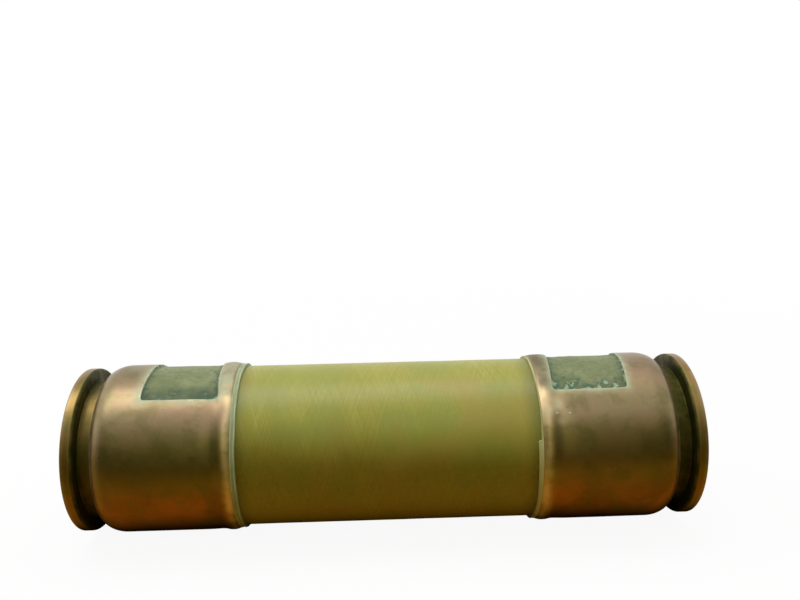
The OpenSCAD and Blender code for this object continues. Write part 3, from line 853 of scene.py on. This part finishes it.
def helix(along, share, lean, scale, drift):
    """A value that stays the same along a winding's threads: noise on a circle whose angle follows the
    thread's helix. Lean is how far the angle turns per metre of X, and its sign the hand."""
    angle = calc("MULTIPLY_ADD", share, 2 * pi, times(along, lean))
    across, up = times(calc("COSINE", angle), scale), times(calc("SINE", angle), scale)
    circle = joined("CombineXYZ", {0: across, 1: up, 2: times(along, drift)})
    return {"Value": noise(circle, 1, 2, 0.5)}


PATCHES = group("patches", {"Vector": None, "Scale": 40, "Level": 0.5, "Softness": 0.1}, patches)
TURNING = group("turning", {"Vector": None, "Pitch": 1500}, turning)
SCRATCHES = group("scratches", {"Vector": None, "Scale": 900, "Level": 0.7}, scratches)
# The under, orange and dim colours are painted reflection and shade on the underside; the wear colour also
# serves painted highlights and glints, and the soiling colour painted shade.
OLD_COPPER = group("old_copper", {
    "Vector": None, "Bright": (0.27, 0.21, 0.11), "Under": (0.25, 0.12, 0.022), "Pink": (0.32, 0.20, 0.13),
    "Olive": (0.16, 0.142, 0.052), "Spot": (0.09, 0.05, 0.015), "Worn": (0.62, 0.47, 0.26),
    "Tinned": (0.38, 0.38, 0.22), "Dirt": (0.045, 0.03, 0.012), "Burnt": (0.36, 0.15, 0.03),
    "Dim": (0.12, 0.085, 0.018), "Salt": (0.44, 0.47, 0.32),
    "Edge": 0, "Halo": 0, "Crust": 0, "Grime_and_shade": 0, "Gloss": 0.3, "Fall": 1,
}, old_copper)
HELIX = group("helix", {"Along": 0, "Share": 0, "Lean": 90, "Scale": 8, "Drift": 12}, helix)

# ---- materials ----

WEAVE_PITCH = 0.0009
WEAVE_ROUND = 250


def material(name):
    """A new material, its tree and its Object coordinates."""
    made = bpy.data.materials.new(name)
    made.use_nodes = True
    return made, made.node_tree, node(made.node_tree, "TexCoord").outputs["Object"]


def dress(made, colour, rough, height, depth, **others):
    """The material, with colour, roughness, a height of so many metres and other inputs given to its
    shader."""
    shader = next(n for n in made.node_tree.nodes if n.type == "BSDF_PRINCIPLED")
    bump = joined("Bump", {"Height": height, "Distance": depth, "Strength": 1})
    named = {key.replace("_", " "): value for key, value in others.items()}
    plug(shader, {"Base Color": colour, "Roughness": rough, "Normal": bump, **named})
    return made


def old_copper_material(name, gloss, depth, **values):
    """A metal of the old_copper group, with its own colours and the piece's own markings."""
    made, tree, where = material(name)
    marks = {label: marking(tree, label.lower()) for label in ("Edge", "Halo", "Crust", "Grime_and_shade")}
    parts = {"Vector": where, "Gloss": gloss, **marks, **values}
    aged = node(tree, "Group", parts, node_tree=OLD_COPPER).outputs
    return dress(made, aged["Color"], aged["Roughness"], aged["Height"], depth, Metallic=aged["Metal"])


def wound_tube_material():
    """Glass thread wound at two leans in olive resin: fine streaks, pale crossings, cloudy resin and a
    satin coat, with painted shade on its underside and next to the ferrules."""
    made, tree, where = material("wound_glass_tube")
    x, share, _ = around(tree)

    def threads(lean, scale, drift):
        """The threads of one lean."""
        parts = {"Along": x, "Share": share, "Lean": lean, "Scale": scale, "Drift": drift}
        return joined("Group", parts, node_tree=HELIX)

    fine = calc("ADD", threads(96, 16, 90), threads(-91, 15, 110))
    hair = calc("MAXIMUM", threads(99, 30, 120), threads(-94, 32, 100))
    band = calc("MAXIMUM", threads(95, 4.2, 60), threads(-92, 4.6, 70))
    hairs = times(spread(hair, 0.62, 0.74), spread(noise(where, 90, 2), 0.42, 0.6, 0.05, 0.42))
    # Painted shade: the tube darkens next to the ferrules' mouths, where they shade it.
    near_ends = spread(calc("ABSOLUTE", x), 0.058, 0.0665)
    colour = layered(
        mix(spread(fine, 0.8, 1.2), (0.328, 0.312, 0.036), (0.374, 0.362, 0.050)),
        (hairs, (0.58, 0.60, 0.28)),
        (spread(band, 0.58, 0.72, 0, 0.15), (0.50, 0.46, 0.13)),
        (spread(noise(where, 35, 4), 0.42, 0.6, 0, 0.6), (0.27, 0.31, 0.05)),
        (spread(noise(where, 24, 3, 0.5, 0.5), 0.48, 0.64, 0, 0.55), (0.40, 0.29, 0.055)),
        (times(near_ends, 0.8), (0.15, 0.16, 0.024)),
    )
    # Painted shade: the tube's underside multiplied darker and browner.
    colour = painted_shade(times(under_side(where, 22, 3, 0.026, 0.001), 0.85), colour, (0.57, 0.40, 0.17))
    speckle = spread(noise(where, 620, 4, 0.7), 0.4, 0.62, 0, 0.22)
    colour = mix(speckle, colour, (0.27, 0.26, 0.04))
    rough = spread(fine, 0.8, 1.2, 0.40, 0.36)
    height = calc("MULTIPLY_ADD", hair, 0.5, fine)
    return dress(made, colour, rough, height, 0.000022, Specular_IOR_Level=0.42)


def tape_material():
    """Glass tape set in resin: grey-green at the left and cream at the right, lighter along its edges,
    with a faint weave and stains, and painted shade on its underside."""
    made, tree, where = material("glass_tape")
    x, share, _ = around(tree)
    across = calc("SINE", times(x, 2 * pi / WEAVE_PITCH))
    weave = times(across, calc("SINE", times(share, 2 * pi * WEAVE_ROUND)))
    right = spread(x, -0.01, 0.01)
    colour = layered(
        mix(right, (0.27, 0.33, 0.17), (0.46, 0.44, 0.20)),
        (times(spread(noise(where, 180, 4), 0.5, 0.68), 0.5), (0.22, 0.21, 0.09)),
        (
            broken(marking(tree, "edge"), where, 120, 0.3, 0.6, 0.4, 3),
            mix(right, (0.50, 0.57, 0.36), (0.54, 0.52, 0.27)),
        ),
    )
    # Painted shade: the tape's lower side multiplied darker and browner.
    below = spread(split(where)[2], 0.016, -0.024, 0, 0.75)
    colour = painted_shade(below, colour, (0.66, 0.56, 0.42))
    rough = spread(noise(where, 400), 0.35, 0.65, 0.42, 0.62)
    height = calc("MULTIPLY_ADD", weave, 0.1, noise(where, 500))
    return dress(made, colour, rough, height, 0.00015)


def solder_material():
    """Old solder: grey-green metal skin with clouds, and a dull teal and pale crust where it climbs the
    edges, with painted shade along its walls, and darker towards its front edge."""
    made, tree, where = material("old_solder")
    crust = marking(tree, "crust")
    grain = noise(where, 520, 5, 0.65)
    # The fourth layer is the painted shade along the walls and the darkening towards the front edge.
    colour = layered(
        mix(spread(noise(where, 70, 5, 0.6), 0.4, 0.62), (0.17, 0.20, 0.09), (0.23, 0.26, 0.13)),
        (spread(grain, 0.5, 0.68, 0, 0.5), (0.13, 0.16, 0.085)),
        (broken(marking(tree, "grime_and_shade"), where, 90, 0.35, 0.6, 0.6), (0.07, 0.095, 0.05)),
        (times(broken(spread(crust, 0.05, 0.4), where, 330, 0.38, 0.56), 0.75), (0.055, 0.12, 0.08)),
        (times(broken(spread(crust, 0.3, 0.9), where, 410, 0.47, 0.58), 0.8), (0.40, 0.50, 0.34)),
    )
    rough = calc("MULTIPLY_ADD", crust, 0.15, spread(grain, 0.35, 0.65, 0.5, 0.64))
    metal = spread(crust, 0.05, 0.5, 0.25, 0.05)
    height = calc("MULTIPLY_ADD", grain, 0.5, noise(where, 190))
    return dress(made, colour, rough, height, 0.00035, Metallic=metal, Specular_IOR_Level=0.3)


def grained_material(name, dark, pale, scale, rough, depth, metal=0, by=(1, 1, 1), speck=None, **others):
    """A plain material with grain: two colours mixed by noise that may be drawn out along an axis, with
    specks on top, and roughness and height from the same noise."""
    made, _, where = material(name)
    grain = noise(stretched(where, by), scale, 5, 0.6)
    both = calc("MULTIPLY_ADD", grain, 0.6, times(noise(where, scale / 9), 0.4))
    colour = mix(spread(both, 0.36, 0.64), dark, pale)
    if speck:
        parts = {"Vector": where, "Scale": scale * 2.2, "Level": 0.63, "Softness": 0.03}
        colour = mix(times(joined("Group", parts, node_tree=PATCHES), 0.7), colour, speck)
    uneven = spread(both, 0.3, 0.7, rough - 0.07, rough + 0.09)
    return dress(made, colour, uneven, grain, depth, Metallic=metal, **others)


COPPER_SHEET = old_copper_material("old_copper_sheet", 0.33, 0.00006)
COPPER_CAP = old_copper_material(
    "old_copper_cap", 0.32, 0.00007, Bright=(0.25, 0.165, 0.055), Pink=(0.31, 0.165, 0.065),
    Olive=(0.13, 0.135, 0.03), Under=(0.20, 0.11, 0.02), Worn=(0.38, 0.27, 0.12), Dirt=(0.036, 0.044, 0.008),
)
BRASS = old_copper_material(
    "turned_brass", 0.28, 0.00005, Bright=(0.60, 0.43, 0.16), Under=(0.48, 0.28, 0.08),
    Pink=(0.55, 0.36, 0.15), Olive=(0.42, 0.34, 0.12), Spot=(0.2, 0.12, 0.04), Worn=(0.74, 0.58, 0.28),
    Burnt=(0.5, 0.28, 0.09), Dim=(0.33, 0.22, 0.08), Fall=0.4,
)
PLATE = old_copper_material(
    "rolled_copper_plate", 0.3, 0.00005, Bright=(0.62, 0.35, 0.20), Under=(0.56, 0.28, 0.14),
    Pink=(0.66, 0.36, 0.24), Olive=(0.48, 0.30, 0.14), Spot=(0.25, 0.12, 0.06), Burnt=(0.5, 0.2, 0.09),
    Dim=(0.36, 0.18, 0.09), Fall=0.2,
)
STRAP = old_copper_material(
    "tinned_strap", 0.36, 0.00006, Bright=(0.52, 0.50, 0.42), Under=(0.44, 0.38, 0.27),
    Pink=(0.5, 0.42, 0.32), Olive=(0.42, 0.42, 0.32), Spot=(0.2, 0.18, 0.12), Worn=(0.6, 0.4, 0.26),
    Burnt=(0.42, 0.3, 0.18), Dim=(0.3, 0.27, 0.18), Fall=0.4,
)
TUBE = wound_tube_material()
TAPE = tape_material()
SOLDER = solder_material()
FIBRE = grained_material(
    "vulcanised_fibre", (0.15, 0.06, 0.035), (0.27, 0.13, 0.08), 500, 0.6, 0.0001, by=(1, 1, 0.3),
)
BOARD = grained_material(
    "mica_board", (0.55, 0.48, 0.32), (0.74, 0.68, 0.52), 260, 0.45, 0.0001, by=(0.4, 1, 1),
    speck=(0.32, 0.25, 0.14), Coat_Weight=0.2,
)
SILVER = grained_material(
    "rolled_silver", (0.66, 0.66, 0.63), (0.84, 0.84, 0.81), 900, 0.24, 0.00003, 1, (0.05, 1, 1),
)
TIN = grained_material("tin_spots", (0.40, 0.40, 0.38), (0.58, 0.58, 0.56), 700, 0.45, 0.00008, 1)
SAND = grained_material(
    "quartz_sand", (0.52, 0.43, 0.29), (0.80, 0.72, 0.56), 2400, 0.82, 0.0005, speck=(0.28, 0.22, 0.16),
)
RED = grained_material(
    "red_lacquer", (0.42, 0.035, 0.015), (0.62, 0.07, 0.03), 220, 0.3, 0.00004, speck=(0.3, 0.03, 0.015),
    Coat_Weight=0.5,
)
STEEL = grained_material(
    "spring_steel", (0.38, 0.38, 0.37), (0.55, 0.55, 0.53), 1100, 0.3, 0.00003, 1, (1, 0.08, 1),
)
WIRE = grained_material(
    "drawn_wire", (0.45, 0.45, 0.43), (0.62, 0.62, 0.6), 1500, 0.28, 0.00002, 1, (0.05, 1, 1),
)
CERAMIC = grained_material(
    "fired_ceramic", (0.74, 0.71, 0.62), (0.86, 0.84, 0.77), 300, 0.22, 0.00006, speck=(0.6, 0.52, 0.38),
    Coat_Weight=0.4,
)

# ---- the pieces, each on its body and in the place of its CAD node ----


def settle(piece, body, slot, finish, *nodes):
    """Gives a piece its material and body, and hides the CAD nodes that it stands for. The slot is not used.
    """
    piece.data.materials.append(finish)
    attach(piece, body)
    if nodes:
        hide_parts(*nodes)


ferrule_left, window_left = make_ferrule(-1, "ferrule_left_sheet")
ferrule_right, window_right = make_ferrule(1, "ferrule_right_sheet")
cap_left = make_cap(-1, "end_cap_left_turned", FILL_HOLE)
cap_right = make_cap(1, "end_cap_right_turned", HOUSING_HOLE)
tube = make_tube("tube_wound")
tape_left = make_tape(-1, "tape_left_turn")
tape_right = make_tape(1, "tape_right_turn")
solder_left = make_solder(-1, "solder_left_pool")
solder_right = make_solder(1, "solder_right_pool")
for piece, slot, finish, cad_node in (
    (ferrule_left, "ferrule", COPPER_SHEET, "ferrule_left"),
    (ferrule_right, "ferrule", COPPER_SHEET, "ferrule_right"),
    (cap_left, "end_cap", COPPER_CAP, "end_cap_left"),
    (cap_right, "end_cap", COPPER_CAP, "end_cap_right"),
    (tube, "tube", TUBE, "tube"),
    (tape_left, "tape", TAPE, "tape_left"),
    (tape_right, "tape", TAPE, "tape_right"),
    (solder_left, "solder", SOLDER, "solder_left"),
    (solder_right, "solder", SOLDER, "solder_right"),
):
    settle(piece, "fuse", slot, finish, cad_node)
DROPS = {
    "solder_drop": (solder_right, (0.8, 1.1, 0.5), "solder", SOLDER),
    # The two copper pips are small bumps painted pale: painted glints.
    "copper_pip_a": (ferrule_right, (0.75, 0.6, 0.16), "ferrule", COPPER_SHEET),
    "copper_pip_b": (ferrule_right, (0.6, 0.5, 0.14), "ferrule", COPPER_SHEET),
}
for name, (carrier, sizes, slot, finish) in DROPS.items():
    settle(make_drop(name, place(name, carrier), *sizes), "fuse", slot, finish)

spring = make_spring("indicator_spring_coil", 120.7, 131.2)
spring.data.materials.append(STEEL)
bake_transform(spring)
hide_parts("indicator_spring")

for finish, names in (
    (STRAP, "strap_left strap_right"),
    (FIBRE, "gasket_left gasket_right fill_washer"),
    (PLATE, "contact_plate_left contact_plate_right"),
    (BOARD, "core_board_a core_board_b core_board_c"),
    (SILVER, "element_1 element_2 element_3 element_4 element_5 element_6"),
    (TIN, "overlay_spots"),
    (SAND, "sand_fill"),
    (BRASS, "fill_plug indicator_housing wire_post"),
    (RED, "indicator_plunger"),
    (STEEL, "indicator_clip"),
    (WIRE, "indicator_wire"),
    (CERAMIC, "wire_bushing"),
):
    for name in names.split():
        for cad_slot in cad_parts[name].material_slots:
            cad_slot.material = finish

# ---- stage: white surround, pale floor, soft light from overhead, and a dim room in front ----

# each lamp: its place, size, power and turn, and whether gloss shows it
LAMPS = {
    "overhead": ((-0.30, 0.10, 1.0), (1.2, 0.5), 5.4, radians(12), True),
    "soft_overhead": ((0.0, 0.2, 1.2), (1.4, 1.0), 5.5, 0.0, False),
}
WORLD_FILL = 0.25
FLOOR_Z = -0.0385
FLOOR_GLOW = 0.93
FLOOR_REACH = 4000.0
ROOM_REACH = 1300
ROOM_HEIGHT = 1900
UNDER_CUT = -16
CHANNELS = ("red", "green", "blue")


def background_ray(tree):
    """1 for the rays that should see a white surround: the camera's, and those in gloss and glass."""
    path = node(tree, "LightPath").outputs
    gloss = calc("MAXIMUM", path["Is Glossy Ray"], path["Is Transmission Ray"])
    return calc("MAXIMUM", path["Is Camera Ray"], gloss)


def make_world():
    """A surround that is white to the camera and in gloss, and a soft fill to everything else."""
    world = bpy.data.worlds.new("surround")
    world.use_nodes = True
    tree = world.node_tree
    shader = next(n for n in tree.nodes if n.type == "BACKGROUND")
    shader.inputs["Color"].default_value = (1.0, 1.0, 1.0, 1.0)
    level = spread(background_ray(tree), 0, 1, WORLD_FILL, 1)
    tree.links.new(level, shader.inputs["Strength"])
    bpy.context.scene.world = world


def bare_material(piece, name):
    """The empty tree of a new material, which the piece takes."""
    made = bpy.data.materials.new(name)
    made.use_nodes = True
    made.node_tree.nodes.clear()
    piece.data.materials.append(made)
    return made.node_tree


def show_mixed(tree, share, one, other):
    """Joins two shaders, mixed by a share, to the tree's output."""
    both = joined("MixShader", {0: share, 1: one, 2: other})
    tree.links.new(both, node(tree, "OutputMaterial").inputs["Surface"])


def make_floor():
    """A pale floor that glows to the camera and keeps the object's shadow."""
    x, y = np.meshgrid([-FLOOR_REACH, FLOOR_REACH], [-FLOOR_REACH, FLOOR_REACH], indexing="ij")
    points = np.stack([x, y, 0 * x + FLOOR_Z / MM], axis=-1)
    floor = mesh_object("floor", points, np.array([[0, 2, 3, 1]]))
    tree = bare_material(floor, "pale_floor")
    matt = node(tree, "BsdfDiffuse", {"Color": (0.9, 0.9, 0.9)}).outputs[0]
    glow = joined("Emission", {"Strength": background_ray(tree)})
    away = joined("VectorMath", {0: node(tree, "TexCoord").outputs["Object"]}, "Value", operation="LENGTH")
    show_mixed(tree, spread(away, 0.2, 0.7, FLOOR_GLOW, 1), matt, glow)


def make_room():
    """The dim room that the front of the object faces: a brown table, dark under the object, and a wall
    with a soft window in its middle, bent round it on an ellipse. The camera doesn't see it, it throws no
    shadow, and from below it isn't there."""
    by_object, beyond = np.linspace(-150, 40, 39), np.geomspace(50, ROOM_REACH, 16)
    out = np.concatenate([by_object, beyond, np.full(24, ROOM_REACH)])[:, None]
    up = np.concatenate([np.zeros(55), np.linspace(0, ROOM_HEIGHT, 25)[1:]])[:, None]
    turn = np.radians(np.linspace(-100, 100, 61))[None, :]
    x = (END_X + 90 + np.maximum(out, 0)) * np.sin(turn)
    y = -(FERRULE_R + out) * np.cos(turn)
    points = np.stack([x, y, FLOOR_Z / MM + 1 + up + 0 * turn], axis=-1)
    z, away, side = up * MM, np.maximum(out, 0) * MM, np.degrees(turn)
    table = (0.09 + 0.40 / (1 + (away / 0.09) ** 2)) * ramp(out, UNDER_CUT, 14) * (z == 0)
    wall = (0.06 + 0.04 * z + 0.175 * z * z) * (z > 0)
    window = (0.35 + 0.6 * ramp(z, 0, 0.9)) * bell(side, 0, 9 + 5 * ramp(z, 0.6, 1.6)) * (z > 0)
    window = window + 0.9 * bell(side, 15, 8) * ramp(z, 1.2, 1.7) - 0.03 * bell(side, -15, 8) * (z > 0)
    ends = ramp(np.abs(side), 38, 85)
    shares = []
    for table_tint, low, end, pane in (
        (1, 1, 0.45, 1), (0.5 + 0.25 * ramp(out, 20, 90), 1.1, 0.34, 0.92), (0.06, 0.04, 0.15, 0.4),
    ):
        tint = low + (1 - low) * ramp(z, 0.1, 1.9)
        bright = end + (1 - end) * ramp(z, 0.1, 0.5)
        glass = window * (pane + (1 - pane) * ramp(z, 0.7, 1.6))
        middle = (table * table_tint + wall * tint + glass) * (1 - ends)
        shares.append(middle + bright * ends * ramp(out, UNDER_CUT, 14) + ramp(-out, 90, 145))
    room = mesh_object("room", points, grid_faces(*x.shape), None, dict(zip(CHANNELS, shares)), 180)
    if room.data.polygons[0].normal.z < 0:
        room.data.flip_normals()
    tree = bare_material(room, "dim_room")
    colour = joined("CombineColor", {n: marking(tree, key) for n, key in enumerate(CHANNELS)})
    glow = joined("Emission", {"Color": colour, "Strength": 1})
    clear = node(tree, "BsdfTransparent").outputs[0]
    show_mixed(tree, node(tree, "NewGeometry").outputs["Backfacing"], glow, clear)
    room.visible_camera = False
    room.visible_shadow = False


def make_lamp(name, at, size, power, turn, glossy):
    """A wide soft lamp overhead, facing down."""
    data = bpy.data.lights.new(name, "AREA")
    data.shape = "RECTANGLE"
    data.size, data.size_y = size
    data.energy = power
    lamp = in_scene(name, data)
    lamp.location = at
    lamp.rotation_euler = (0, 0, turn)
    lamp.visible_glossy = glossy


make_world()
make_floor()
make_room()
for name, lamp in LAMPS.items():
    make_lamp(name, *lamp)
bpy.context.scene.view_settings.view_transform = "Standard"

# ---- where things show in the image, worked out from their image points; nothing uses the results ----


def vertices(piece):
    """The finished vertices of a piece, in metres."""
    flat = np.empty(3 * len(piece.data.vertices))
    piece.data.vertices.foreach_get("co", flat)
    return flat.reshape(-1, 3)


def crossing(piece, x, r, name):
    """Where the ring of a piece's vertices nearest to a place on its profile crosses its image point's
    height, in front."""
    spots = vertices(piece)
    away = np.hypot(np.abs(spots[:, 0]) / MM - x, np.hypot(spots[:, 1], spots[:, 2]) / MM - r)
    ring = to_pixels(spots[(away < away.min() + 0.35) & (spots[:, 1] < 0)])
    return ring[np.abs(ring[:, 1] - POINTS[name][1]).argmin()]


outer_pieces = (ferrule_left, ferrule_right, cap_left, cap_right)
outline = to_pixels(np.concatenate([vertices(piece) for piece in outer_pieces]))
lap = on_axis(TUBE_R + TAPE_BEAD, MOUTH_X - TAPE_SHOW[1] - TAPE_STEP[1] / 2, TAPE_LAP) * MM
for way, ferrule, cap, window in (
    ("left", ferrule_left, cap_left, window_left), ("right", ferrule_right, cap_right, window_right),
):
    for spot, piece, x, r in (
        ("mouth", ferrule, MOUTH_X, SLEEVE_R), ("lip", ferrule, LIP_X, FERRULE_R - SHOULDER_DROP),
        ("rim_back", cap, GROOVE_X + RIM_INNER_ROUND, RIM_R),
    ):
        name = f"{way}_{spot}"
        crossing(piece, x, r, name)
for name in DROPS:
    to_pixels(vertices(bpy.data.objects[name])).mean(axis=0)
